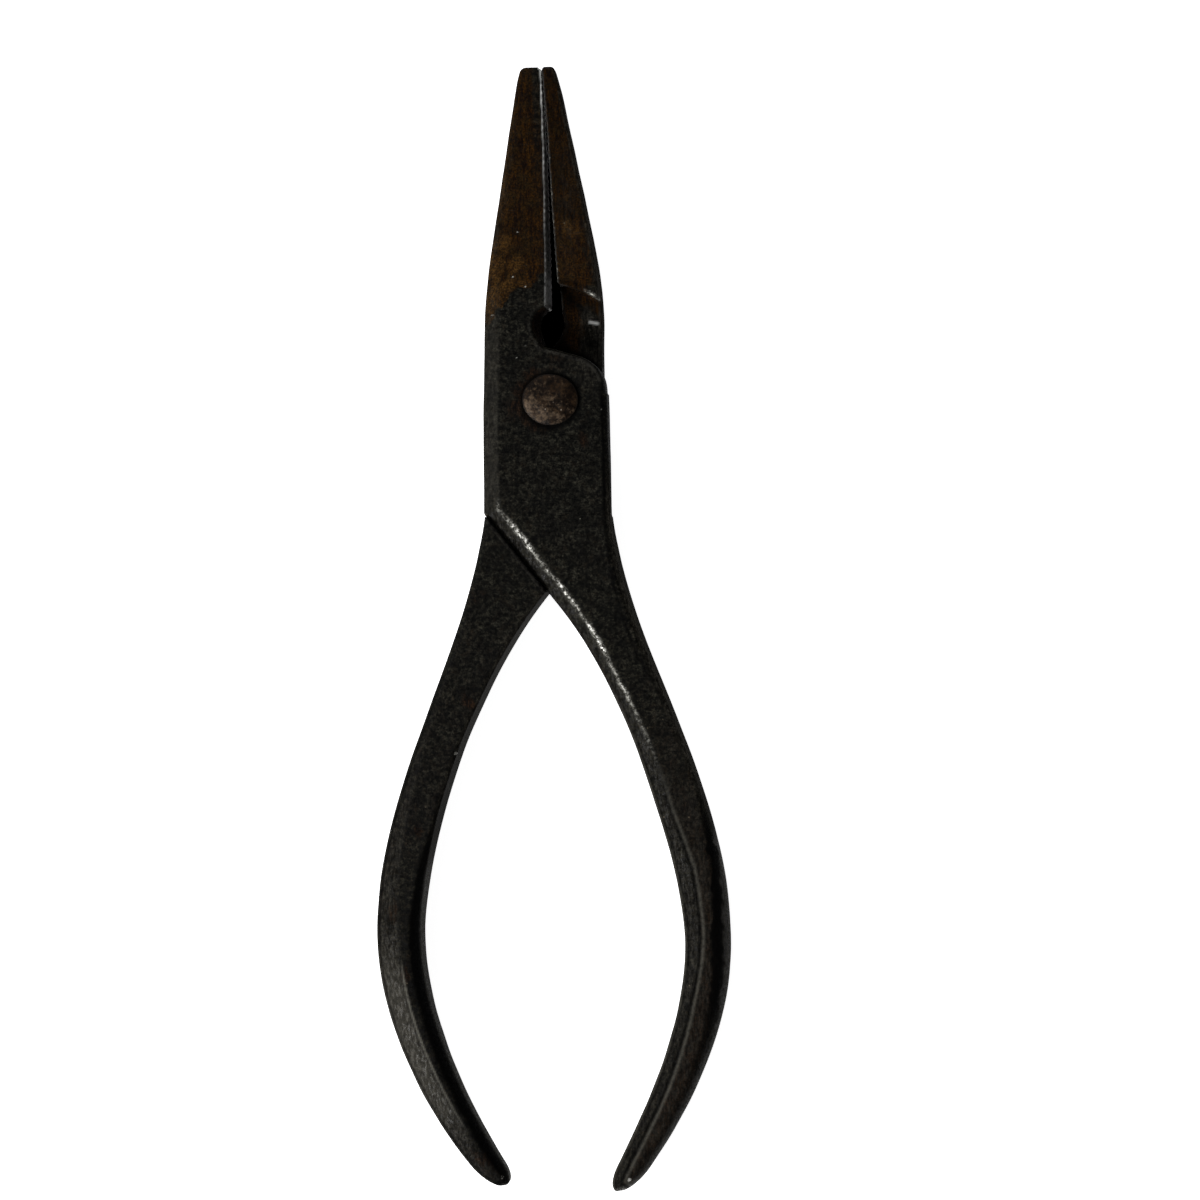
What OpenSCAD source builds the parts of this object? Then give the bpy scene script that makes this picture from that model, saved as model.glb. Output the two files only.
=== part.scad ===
// Long nose pliers: two forged levers crossed in a half lap and held by one rivet.
// The frame: the rivet's axis is Z, the jaws point along +Y, the back face lies on Z = 0.

/* [Body] */
// Thickness of the joint and of the grips
body_t = 9.5; // [8:0.1:12]
// Half width of the blend where a jaw's taper meets the side of the joint
side_blend = 1.1; // [0.4:0.1:2]
// Widening of each plate's free side towards the handle, per millimetre
side_flare = 0.03; // [0:0.005:0.06]

/* [Jaws] */
// Thickness of both jaws at the tip
tip_t = 3.4; // [2:0.1:5]
// Place of the bite at the tips, across the rivet's axis
bite_x = -1.5; // [-2:0.1:-1]
// Opening left between the tips when the pliers are closed
tip_gap = 0.15; // [0.05:0.05:0.3]
// Rounding of the tip's corners
tip_round = 0.7; // [0.4:0.05:0.8]
// Width of the rounding along a jaw's outer edges
jaw_edge_w = 1.3; // [0.8:0.1:1.4]
// Depth of the rounding along a jaw's outer edges
jaw_edge_d = 1.1; // [0.6:0.1:1.3]
// Stretch above the joint over which a jaw's outer edges go over to those of the joint
jaw_edge_run = 8; // [5:0.5:12]
// Rounding along the edges of the gripping face
bite_edge = 0.25; // [0.1:0.05:0.4]

/* [Joint] */
// Gap between the two sliding faces of the half lap
lap_gap = 0.06; // [0.04:0.01:0.1]
// Clearance between a plate's edge and the shoulder beside it
lap_clear = 0.15; // [0.1:0.05:0.3]
// Height of a plate's top edge above the rivet's axis
plate_top_y = 7.3; // [6.6:0.1:7.6]
// Fall of a plate's top edge, per millimetre across
plate_top_fall = 0.28; // [0.2:0.02:0.4]
// Radius of a plate's free top corner
plate_corner_r = 5.4; // [3:0.1:5.6]
// Radius of the round relief between the jaws and the plate
relief_r = 2.85; // [2:0.05:3]
// Height of that relief's centre above the rivet's axis
relief_y = 10.5; // [10:0.1:11]
// Width of the shallow bevel on the side of the joint that carries the jaw
flank_edge_w = 2.2; // [1:0.1:2.6]
// Width of the bevel on a plate's free side
free_edge_w = 1; // [0.5:0.1:2]
// Depth of the bevels round the joint
joint_edge_d = 0.7; // [0.3:0.05:1.2]

/* [Crotch] */
// Place of the crotch across the rivet's axis
crotch_x = -0.6; // [-1:0.1:0]
// Distance from the rivet to the crotch where the handles part
crotch_y = 27; // [26:0.1:29]
// Lean of each plate's lower edge from the long axis
crotch_angle = 39; // [37:0.5:41]
// Distance from the rivet to where the handle's outer curve starts
side_end_y = 15; // [10:0.5:16]

/* [Front lever] */
// Length of the left jaw from the rivet
front_jaw_len = 47.2; // [42:0.1:55]
// Width of the left jaw's tip
front_tip_w = 3; // [2.2:0.05:3.6]
// Distance from the rivet to where the left jaw reaches its full width and thickness
front_root_y = 14; // [13:0.1:16]
// Place of the left gripping face at the relief, across the rivet's axis
front_face_x = -0.85; // [-1.1:0.05:-0.7]
// Radius about the rivet of the shoulder behind the left jaw
front_shoulder_r = 13.2; // [12.4:0.1:17]
// Half width of the joint on the left jaw's side
front_flank = 9.45; // [9:0.05:11]
// Half width of the front plate on its free side
front_side = 7.9; // [7.6:0.05:9]
// Place of the front relief's centre, across the rivet's axis
front_relief_x = 0.3; // [0:0.1:0.6]
// Distance from the rivet to the widest place of the right handle
front_bow_y = 76.9; // [70:0.1:85]
// Reach of the right handle's outer side at its widest place
front_bow_x = 25.3; // [22:0.1:30]
// Width of the right handle at its widest place
front_bow_w = 6.5; // [5.6:0.1:8]
// Length of the right handle from the rivet
front_handle_len = 112.2; // [105:0.1:125]
// Reach of the right handle's outer side where its end starts to round
front_end_x = 14.4; // [10:0.1:18]
// Width of the right handle where its end starts to round
front_end_w = 4.85; // [4:0.05:5.8]
// Length of the right handle's rounded end
front_cap_len = 4.9; // [3:0.1:6]
// Lean of the right handle's outer side at its end
front_end_angle = 33; // [25:1:42]

/* [Rear lever] */
// Length of the right jaw from the rivet
rear_jaw_len = 47.5; // [42:0.1:55]
// Width of the right jaw's tip
rear_tip_w = 1.7; // [1.6:0.05:3]
// Distance from the rivet to where the right jaw reaches its full width and thickness
rear_root_y = 15.7; // [13:0.1:16]
// Place of the right gripping face at the relief, across the rivet's axis
rear_face_x = 1.3; // [1:0.05:1.6]
// Radius about the rivet of the shoulder below the right jaw
rear_shoulder_r = 16.2; // [12.4:0.1:17]
// Half width of the joint on the right jaw's side
rear_flank = 7; // [6.8:0.05:8]
// Half width of the rear plate on its free side
rear_side = 9.05; // [8.6:0.05:9.6]
// Place of the rear relief's centre, across the rivet's axis
rear_relief_x = -1.5; // [-1.8:0.1:-1.2]
// Distance from the rivet to the widest place of the left handle
rear_bow_y = 75.5; // [70:0.1:85]
// Reach of the left handle's outer side at its widest place
rear_bow_x = 25; // [22:0.1:30]
// Width of the left handle at its widest place
rear_bow_w = 6.35; // [5.6:0.05:8]
// Length of the left handle from the rivet
rear_handle_len = 111.6; // [105:0.1:125]
// Reach of the left handle's outer side where its end starts to round
rear_end_x = 12.2; // [10:0.1:18]
// Width of the left handle where its end starts to round
rear_end_w = 5; // [4:0.05:5.8]
// Length of the left handle's rounded end
rear_cap_len = 4.4; // [3:0.1:6]
// Lean of the left handle's outer side at its end
rear_end_angle = 39; // [25:1:42]

/* [Handles] */
// Thickness of both handles where their ends start to round
end_t = 6.2; // [5:0.1:8]
// Width of the bevels at the roots of the handles
root_edge_w = 1.9; // [1:0.1:2.4]
// Depth of the bevels at the roots of the handles
root_edge_d = 1.3; // [0.8:0.1:2]
// Width of the rounding along the grips
grip_edge_w = 2.3; // [1.6:0.1:2.6]
// Depth of the rounding along the grips
grip_edge_d = 2.7; // [1.6:0.1:3.4]

/* [Rivet] */
// Diameter of the rivet's shank
shank_d = 5; // [4:0.1:6]
// Running clearance round the shank in the front lever
shank_clear = 0.05; // [0.02:0.01:0.1]
// Diameter of the rivet's head
head_d = 7.7; // [7:0.1:9]
// Height of the rivet's head
head_h = 0.55; // [0.3:0.05:1]
// Gap under the rivet's head
head_gap = 0.03; // [0.02:0.01:0.05]
// Diameter of the rivet's flush tail on the back face
tail_d = 7.4; // [6.6:0.1:8]
// Depth of the countersink that the tail fills
tail_h = 1.2; // [0.8:0.1:2]

/* [Hidden] */

mid_z = body_t / 2;
eps = 0.01;
// How far a cut runs past the face it starts from
over = body_t / 10;
// Segments of each corner in a lever's cross section
CORNER_STEPS = 4;
// Height at which the blank widens from the jaw to the full joint, inside the relief
widen_y = relief_y;
// Shape of the handle curves: how far each tangent reaches, as a share of the curve's length
OUTER_UP = [0.29, 0.35];
INNER_UP = [0.45, 0.15];
LOWER = [0.35, 0.35];
// The handle's inner side leans less than its outer side at the end
TAPER_ANGLE = 6;

// A lever is described in its own frame: jaw on the left, handle on the right, plate in front.
JAW_LEN = 0;
TIP_X = 1;
TIP_W = 2;
FACE_X = 3;
FLANK = 4;
SIDE = 5;
CROTCH_X = 6;
BOW = 7;
BOW_W = 8;
HANDLE_LEN = 9;
END_X = 10;
END_W = 11;
CAP_LEN = 12;
END_ANGLE = 13;
RELIEF_X = 14;
ROOT_Y = 15;
SHOULDER_R = 16;

FRONT = [
    front_jaw_len, bite_x - tip_gap / 2, front_tip_w, front_face_x, front_flank,
    front_side, crotch_x, [front_bow_x, -front_bow_y], front_bow_w, front_handle_len,
    front_end_x, front_end_w, front_cap_len, front_end_angle, front_relief_x,
    front_root_y, front_shoulder_r
];
REAR = [
    rear_jaw_len, -(bite_x + tip_gap / 2), rear_tip_w, -rear_face_x, rear_flank,
    rear_side, -crotch_x, [rear_bow_x, -rear_bow_y], rear_bow_w, rear_handle_len,
    rear_end_x, rear_end_w, rear_cap_len, rear_end_angle, -rear_relief_x,
    rear_root_y, rear_shoulder_r
];

// Curves
function mix(a, b, t) = a + (b - a) * t;
function soft_min(a, b, k) = let (h = max(k - abs(a - b), 0) / k) min(a, b) - h * h * k / 4;
function curve(p, t) =
    let (s = 1 - t)
    s * s * s * p[0] + 3 * s * s * t * p[1] + 3 * s * t * t * p[2] + t * t * t * p[3];
function curve_t(p, y, lo = 0, hi = 1, n = 24) =
    let (m = (lo + hi) / 2)
    n == 0 ? m : curve(p, m)[1] > y ? curve_t(p, y, m, hi, n - 1) : curve_t(p, y, lo, m, n - 1);
function bend(from, from_dir, to, to_dir, reach) =
    let (len = from[1] - to[1])
    [from, from + from_dir * reach[0] * len, to + to_dir * reach[1] * len, to];
function lean(angle) = [sin(angle), cos(angle)];

// Sides of a lever
function face_x(L, y) =
    mix(L[TIP_X], L[FACE_X], (L[JAW_LEN] - y) / (L[JAW_LEN] - (relief_y + relief_r)));
function taper_x(L, y) =
    mix(L[TIP_W] - L[TIP_X], L[FLANK], (L[JAW_LEN] - y) / (L[JAW_LEN] - L[ROOT_Y]));
function diagonal_x(L, y) = L[CROTCH_X] - (y + crotch_y) * tan(crotch_angle);
function left_x(L, y) = max(-soft_min(taper_x(L, y), L[FLANK], side_blend), diagonal_x(L, y));
function side_x(L, y) = L[SIDE] - side_flare * y;
function outer_up(L) =
    bend([side_x(L, -side_end_y), -side_end_y], [side_flare, -1], L[BOW], [0, 1], OUTER_UP);
function inner_up(L) =
    bend([L[CROTCH_X], -crotch_y], [sin(crotch_angle), -cos(crotch_angle)],
         L[BOW] - [L[BOW_W], 0], [0, 1], INNER_UP);
function cap_angle(L) = L[END_ANGLE] - TAPER_ANGLE / 2;
function end_y(L) = L[HANDLE_LEN] - L[CAP_LEN] * cos(cap_angle(L));
function outer_down(L) =
    bend(L[BOW], [0, -1], [L[END_X], -end_y(L)], lean(L[END_ANGLE]), LOWER);
function inner_down(L) =
    bend(L[BOW] - [L[BOW_W], 0], [0, -1], [L[END_X] - L[END_W], -end_y(L)],
         lean(L[END_ANGLE] - TAPER_ANGLE), LOWER);
function right_x(L, y) =
    y > widen_y ? face_x(L, y)
    : y >= -side_end_y ? side_x(L, y)
    : let (c = outer_up(L)) curve(c, curve_t(c, y))[0];

// Height at which the plate's lower edge leaves the side of the joint
function corner_y(L) = -crotch_y + (L[FLANK] + L[CROTCH_X]) / tan(crotch_angle);

// Half the thickness along a lever, and the roundings of its four edges
function half_t(L, y) = lookup(y, [
    [-end_y(L), end_t / 2], [L[BOW][1], mid_z], [L[ROOT_Y], mid_z], [L[JAW_LEN], tip_t / 2]
]);
function left_edge(L, y) = [
    lookup(y, [[L[BOW][1], grip_edge_w], [-crotch_y, root_edge_w], [corner_y(L), flank_edge_w],
               [L[ROOT_Y], flank_edge_w], [L[ROOT_Y] + jaw_edge_run, jaw_edge_w], [L[JAW_LEN], tip_round]]),
    lookup(y, [[L[BOW][1], grip_edge_d], [-crotch_y, root_edge_d], [corner_y(L), joint_edge_d],
               [L[ROOT_Y], joint_edge_d], [L[ROOT_Y] + jaw_edge_run, jaw_edge_d], [L[JAW_LEN], tip_round]])
];
function right_edge(L, y) =
    y > widen_y ? [bite_edge, bite_edge] : [
        lookup(y, [[L[BOW][1], grip_edge_w], [-crotch_y, root_edge_w], [-side_end_y, free_edge_w]]),
        lookup(y, [[L[BOW][1], grip_edge_d], [-crotch_y, root_edge_d], [-side_end_y, joint_edge_d]])
    ];

// A rib is one cross section: its left and right ends, half thickness and edge roundings
function rib(L, left, right, shrink = 1) =
    let (y = (left[1] + right[1]) / 2, w = norm(right - left), h = half_t(L, y) * shrink)
    [left, right, h,
     fit_edge(left_edge(L, y), w, h), fit_edge(right_edge(L, y), w, h)];
function fit_edge(edge, w, h) = [min(edge[0], 0.45 * w), min(edge[1], 0.85 * h)];
function level_rib(L, y, inset = 0) =
    rib(L, [left_x(L, y) + inset, y], [right_x(L, y) - inset, y]);

function tip_ribs(L) = [
    for (a = [90, 60, 30])
        level_rib(L, L[JAW_LEN] - tip_round * (1 - sin(a)), tip_round * (1 - cos(a)) * 0.95)
];
function jaw_ribs(L) =
    let (top = L[JAW_LEN] - tip_round, bottom = L[ROOT_Y] + jaw_edge_run)
    [for (i = [0:5]) level_rib(L, mix(top, bottom, i / 5))];
function shoulder_ribs(L) =
    let (top = L[ROOT_Y] + jaw_edge_run, bottom = widen_y)
    [for (i = [1:6]) level_rib(L, mix(top, bottom, i / 7))];
function joint_ribs(L) = [
    level_rib(L, widen_y + eps),
    for (y = [widen_y, 0, -side_end_y / 2]) level_rib(L, y)
];
function plate_ribs(L) =
    let (from = corner_y(L), step = (corner_y(L) + crotch_y) / 6)
    [for (i = [0:6]) level_rib(L, from - i * step + (i == 6 ? eps : 0))];
function root_t(L) = curve_t(outer_up(L), -crotch_y);
function handle_ribs(L) = concat(
    [for (i = [1:12]) rib(L, curve(inner_up(L), i / 12), curve(outer_up(L), mix(root_t(L), 1, i / 12)))],
    [for (i = [1:10]) rib(L, curve(inner_down(L), i / 10), curve(outer_down(L), i / 10))]
);
function cap_ribs(L) =
    let (
        outer = [L[END_X], -end_y(L)],
        inner = outer - [L[END_W], 0],
        middle = (outer + inner) / 2,
        half = (outer - inner) / 2
    )
    [
        for (a = [18, 36, 54, 70, 82])
            let (c = middle - lean(cap_angle(L)) * L[CAP_LEN] * sin(a), v = half * cos(a))
            rib(L, c - v, c + v, cos(a))
    ];
function ribs(L) = concat(
    tip_ribs(L), jaw_ribs(L), shoulder_ribs(L), joint_ribs(L), plate_ribs(L),
    handle_ribs(L), cap_ribs(L)
);

// The ring of points round a rib: each corner is a quarter of an ellipse
function corner(cu, cz, edge, quarter) = [
    for (i = [0:CORNER_STEPS])
        let (a = 90 * (quarter + i / CORNER_STEPS))
        [cu + edge[0] * cos(a), cz + edge[1] * sin(a)]
];
function ring(r) =
    let (w = norm(r[1] - r[0]), dir = (r[1] - r[0]) / w, h = r[2], le = r[3], re = r[4])
    [
        for (p = concat(
            corner(w - re[0], h - re[1], re, 0), corner(le[0], h - le[1], le, 1),
            corner(le[0], -h + le[1], le, 2), corner(w - re[0], -h + re[1], re, 3)
        ))
            let (q = r[0] + dir * p[0])
            [q[0], q[1], mid_z + p[1]]
    ];

// The forging before the joint is cut: one skin over all ribs, from the tip to the handle's end
module blank(L) {
    rings = [for (r = ribs(L)) ring(r)];
    n = len(rings[0]);
    last = len(rings) - 1;
    points = [for (g = rings) each g];
    sides = [
        for (k = [0:last - 1], i = [0:n - 1])
            let (a = k * n + i, b = k * n + (i + 1) % n)
            each [[a, b + n, b], [a, a + n, b + n]]
    ];
    ends = [[for (i = [0:n - 1]) i], [for (i = [n - 1:-1:0]) last * n + i]];
    polyhedron(points = points, faces = concat(sides, ends), convexity = 10);
}

// The half of the joint's thickness that the other lever's plate lies in
module lap_pocket(L) {
    away = 1.5 * L[SHOULDER_R];
    along = lean(crotch_angle);
    clear = [cos(crotch_angle), -sin(crotch_angle)] * lap_clear;
    foot = [L[CROTCH_X], -crotch_y] + clear;
    up = foot + along * away;
    translate([0, 0, -over])
        linear_extrude(height = mid_z + lap_gap / 2 + over) {
            intersection() {
                circle(r = L[SHOULDER_R], $fn = 96);
                translate([-away, 0]) square([2 * away, away]);
            }
            polygon([
                [-away, eps], [-away, foot[1] - away / 4], foot - along * away / 4,
                up, [away, up[1]], [away, eps]
            ]);
        }
}

// The window above a plate's top edge, with its free corner and the round relief
module plate_window(L) {
    slope = norm([1, plate_top_fall]);
    cx = L[SIDE] - plate_corner_r;
    cy = plate_top_y - plate_top_fall * cx - plate_corner_r * slope;
    touch = [cx, cy] + [plate_top_fall, 1] * plate_corner_r / slope;
    left = -2 * L[FLANK];
    right = 2 * L[SIDE];
    translate([0, 0, -over])
        linear_extrude(height = body_t + 2 * over) {
            translate([L[RELIEF_X], relief_y]) circle(r = relief_r, $fn = 64);
            difference() {
                translate([L[RELIEF_X] - relief_r / 2, cy])
                    square([right - L[RELIEF_X], relief_y + relief_r / 2 - cy]);
                polygon([
                    [left, cy - 1], [L[SIDE], cy - 1], [L[SIDE], cy], [cx, cy], touch,
                    [left, plate_top_y - plate_top_fall * left]
                ]);
                translate([cx, cy]) circle(r = plate_corner_r, $fn = 64);
            }
        }
}

module lever(L) {
    difference() {
        blank(L);
        lap_pocket(L);
        plate_window(L);
    }
}

module through_hole(d) {
    translate([0, 0, -over]) cylinder(d = d, h = body_t + 2 * over, $fn = 64);
}

module turn_over() {
    translate([0, 0, body_t]) rotate([0, 180, 0]) children();
}

module front_lever() {
    color([0.17, 0.16, 0.14])
        difference() {
            lever(FRONT);
            through_hole(shank_d + 2 * shank_clear);
        }
}

module rear_lever() {
    color([0.2, 0.17, 0.14])
        difference() {
            turn_over() lever(REAR);
            through_hole(shank_d);
            cylinder(d1 = tail_d, d2 = shank_d, h = tail_h, $fn = 64);
        }
}

// The rivet: flush tail, shank, and a low domed head that stands on the front plate
module pivot_rivet() {
    head_z = body_t + head_gap;
    head_r = head_d / 2;
    dome_r = (head_r * head_r + head_h * head_h) / (2 * head_h);
    dome_angle = asin(head_r / dome_r);
    color([0.42, 0.27, 0.2])
        rotate_extrude($fn = 96)
            polygon(concat(
                [[0, 0], [tail_d / 2, 0], [shank_d / 2, tail_h], [shank_d / 2, head_z]],
                [
                    for (i = [8:-1:0])
                        let (a = dome_angle * i / 8)
                        [dome_r * sin(a), head_z + head_h - dome_r * (1 - cos(a))]
                ]
            ));
}

front_lever();
rear_lever();
pivot_rivet();
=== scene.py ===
"""Looks of the long nose pliers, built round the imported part. Lengths are in millimetres up to the meshes."""

import math

import bpy
import numpy as np
from mathutils import Matrix, Vector


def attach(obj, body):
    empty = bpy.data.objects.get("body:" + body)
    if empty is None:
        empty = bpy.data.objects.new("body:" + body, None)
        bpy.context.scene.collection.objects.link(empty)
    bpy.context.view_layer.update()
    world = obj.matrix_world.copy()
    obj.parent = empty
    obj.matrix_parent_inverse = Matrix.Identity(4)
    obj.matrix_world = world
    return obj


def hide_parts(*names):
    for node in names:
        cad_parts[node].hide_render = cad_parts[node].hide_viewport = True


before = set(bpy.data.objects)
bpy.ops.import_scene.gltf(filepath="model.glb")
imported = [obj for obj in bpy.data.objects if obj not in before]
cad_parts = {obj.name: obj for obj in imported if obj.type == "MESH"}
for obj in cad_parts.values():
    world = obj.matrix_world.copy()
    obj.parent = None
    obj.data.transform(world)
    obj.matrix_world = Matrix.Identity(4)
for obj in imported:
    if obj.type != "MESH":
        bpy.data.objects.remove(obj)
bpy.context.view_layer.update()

MM = 0.001
GRID = 0.2

# The levers and the joint, as in the part's source
BODY_T = 9.5
MID_Z = BODY_T / 2
TIP_T = 3.4
LAP_GAP = 0.06
SIDE_BLEND = 1.1
SIDE_FLARE = 0.03
SIDE_END_Y = 15.0
CROTCH_Y = 27.0
CROTCH_ANGLE = math.radians(39)
BITE_X = -1.5
TIP_GAP = 0.15
PLATE_TOP_Y = 7.3
PLATE_TOP_FALL = 0.28
PLATE_CORNER_R = 5.4
RELIEF_R = 2.85
RELIEF_Y = 10.5
SHANK_R = 2.5
TAIL_R = 3.7
TAIL_H = 1.2
HEAD_H = 0.55
END_T = 6.2

# Clearances along the diagonal and round the rivet
DIAGONAL_CLEAR = 0.03
BORE_CLEAR = 0.05
# The serrations' pitch and depth, and the waviness of the forged faces
TOOTH = 1.0
TOOTH_DEPTH = 0.05
UNEVEN = 0.02
# Rounding where two cuts meet sharply and where they are worn
SHARP = 0.1
EDGE_WEAR = 0.3
# How far the relief's wall slants, and how far a handle's root steps in below the plate
RELIEF_DRAFT = 0.45
ROOT_STEP = 0.25
# How far from a side the distances to it are worked out
REACH = 4.0
# The span over which the roundness of the surface is felt
FEEL = 0.45

# The outlines, each in the lever's own frame: jaw on the left, handle on the right
FRONT = {
    "jaw_len": 47.25, "tip_x": BITE_X - TIP_GAP / 2, "tip_w": 3.0, "root_y": 14.0,
    "tip_round": (0.6, 0.35), "nip": (0.15, 2.0),
    "face_x": -0.85, "shoulder_r": 13.2, "shoulder_x": 0.0, "flank": 9.45, "side": 7.9, "relief_x": 0.3,
    "crotch_x": -0.6, "bow": (25.3, -76.9), "bow_w": 6.5, "handle_len": 112.15,
    "end_x": 14.4, "end_w": 4.85, "cap_len": 4.9, "end_angle": math.radians(33),
}
REAR = {
    "jaw_len": 47.3, "tip_x": -(BITE_X + TIP_GAP / 2), "tip_w": 1.7, "root_y": 15.7,
    "tip_round": (0.35, 0.25), "nip": (0.25, 4.0),
    "face_x": -1.3, "shoulder_r": 16.76, "shoulder_x": 2.36, "flank": 7.0, "side": 9.05, "relief_x": 1.5,
    "crotch_x": 0.6, "bow": (25.0, -75.5), "bow_w": 6.35, "handle_len": 111.6,
    "end_x": 12.2, "end_w": 5.0, "cap_len": 4.4, "end_angle": math.radians(39),
}
# Worn rounding along the two sides: height along the lever, width on the flat face, depth on the side
FRONT["left_edge"] = (
    (-107, 1.9, 1.2), (-97, 2.2, 1.4), (-85, 2.2, 1.4), (-75, 2.8, 1.6), (-66, 3.0, 1.6), (-58, 2.3, 1.4),
    (-50, 2.4, 1.3), (-40, 2.0, 1.2), (-27, 2.4, 1.1), (-16, 2.5, 1.0), (14, 2.4, 0.8), (22, 0.8, 0.6),
    (46, 0.5, 0.5))
FRONT["right_edge"] = (
    (-107, 1.7, 2.4), (-92, 2.0, 3.2), (-75, 2.6, 4.2), (-68, 2.1, 3.4), (-62, 1.4, 2.0), (-56, 0.8, 0.9),
    (-40, 0.7, 0.7), (-27, 0.9, 0.8), (-15, 0.9, 0.7), (10.5, 0.9, 0.7), (11, 0.12, 0.12))
REAR["left_edge"] = (
    (-107, 1.5, 2.2), (-90, 1.6, 2.4), (-75, 1.6, 2.2), (-66, 1.2, 1.4), (-60, 0.6, 0.6), (-27, 0.4, 0.4),
    (-14, 0.9, 0.7), (14, 0.6, 0.5), (20, 0.35, 0.35), (46, 0.35, 0.35))
REAR["right_edge"] = (
    (-107, 2.7, 1.2), (-95, 3.2, 1.5), (-75, 3.5, 1.6), (-60, 2.3, 1.1), (-45, 1.2, 0.7), (-27, 0.7, 0.5),
    (-15, 0.7, 0.5), (10.5, 0.9, 0.7), (11, 0.12, 0.12))
FRONT["fullness"], REAR["fullness"] = (1.25, 1.7), (1.6, 1.3)
# How far each side stands outside the solid's outline, along the lever
FRONT["left_grow"] = (
    (-112, 0.0), (-102, 0.12), (-91, 0.05), (-79, -0.1), (-68, -0.1), (-57, 0.13), (-51, 0.06),
    (-45, -0.1), (-34, -0.15), (-27, 0.0), (-12, 0.12), (-6, 0.22), (0, 0.15), (6, 0.05), (17, 0.12),
    (28, 0.15), (41, 0.26), (46, 0.2))
FRONT["right_grow"] = (
    (-110, 0.0), (-97, 0.15), (-85, 0.1), (-80, 0.0), (-74, 0.0), (-68, 0.1), (-51, 0.2), (-45, 0.25),
    (-34, 0.1), (-16, 0.0), (-8, 0.12), (6, 0.12), (9, 0.0), (12, 0.2), (18, 0.35), (34, 0.28),
    (40, 0.17), (46, 0.0))
REAR["left_grow"] = (
    (-112, 0.0), (-104, 0.05), (-91, 0.12), (-74, -0.03), (-57, -0.15), (-48, -0.1), (-42, 0.0), (17, 0.0),
    (23, 0.1), (30, 0.18))
REAR["right_grow"] = (
    (-112, -0.04), (-80, -0.12), (-68, -0.06), (-57, 0.0), (9, 0.0), (12, 0.1), (26, 0.12), (38, 0.02),
    (46, 0.15))
TAPER_ANGLE = math.radians(6)
OUTER_UP = (0.29, 0.35)
INNER_UP = (0.45, 0.15)
LOWER = (0.35, 0.35)


# Small helpers


def mix(a, b, t):
    return a + (b - a) * t


def smooth_step(lo, hi, x):
    t = np.clip((x - lo) / (hi - lo), 0.0, 1.0)
    return t * t * (3 - 2 * t)


def smooth_max(a, b, k):
    h = np.maximum(k - np.abs(a - b), 0.0) / k
    return np.maximum(a, b) + h * h * k / 4


def smooth_min(a, b, k):
    return -smooth_max(-a, -b, k)


def lean(angle):
    return np.array([math.sin(angle), math.cos(angle)])


def waves(seed, count, shortest, longest):
    """Smooth random unevenness: a function of points, between about -1 and 1."""
    rng = np.random.default_rng(seed)
    heading = rng.normal(size=(count, 3))
    heading /= np.linalg.norm(heading, axis=1)[:, None]
    length = np.exp(rng.uniform(math.log(shortest), math.log(longest), count))
    phase = rng.uniform(0, 2 * math.pi, count)

    def value(x, y, z):
        total = 0.0
        for direction, wave, start in zip(heading, length, phase):
            turn = 2 * math.pi / wave
            total = total + np.sin(turn * (direction[0] * x + direction[1] * y + direction[2] * z) + start)
        return total / math.sqrt(count)

    return value


# The outline of a lever, in its own frame: jaw on the left, handle on the right, plate in front


def bezier(p, t):
    t = np.asarray(t, float)[:, None]
    s = 1 - t
    return s**3 * p[0] + 3 * s * s * t * p[1] + 3 * s * t * t * p[2] + t**3 * p[3]


def bend(start, start_dir, end, end_dir, reach):
    start, end = np.array(start, float), np.array(end, float)
    span = start[1] - end[1]
    return [start, start + np.array(start_dir) * reach[0] * span,
            end + np.array(end_dir) * reach[1] * span, end]


def face_x(lv, y):
    down = (lv["jaw_len"] - y) / (lv["jaw_len"] - (RELIEF_Y + RELIEF_R))
    return mix(lv["tip_x"], lv["face_x"], down)


def left_x(lv, y):
    down = (lv["jaw_len"] - y) / (lv["jaw_len"] - lv["root_y"])
    taper = mix(lv["tip_w"] - lv["tip_x"], lv["flank"], down)
    side = -smooth_min(taper, lv["flank"], SIDE_BLEND)
    return np.maximum(side, lv["crotch_x"] - (y + CROTCH_Y) * math.tan(CROTCH_ANGLE))


def side_x(lv, y):
    return lv["side"] - SIDE_FLARE * y


def end_point(lv):
    """The outer end of the handle's side, where its rounded end starts, and the way the handle points."""
    angle = lv["end_angle"] - TAPER_ANGLE / 2
    y = -(lv["handle_len"] - lv["cap_len"] * math.cos(angle))
    return np.array([lv["end_x"], y]), -lean(angle)


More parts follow.
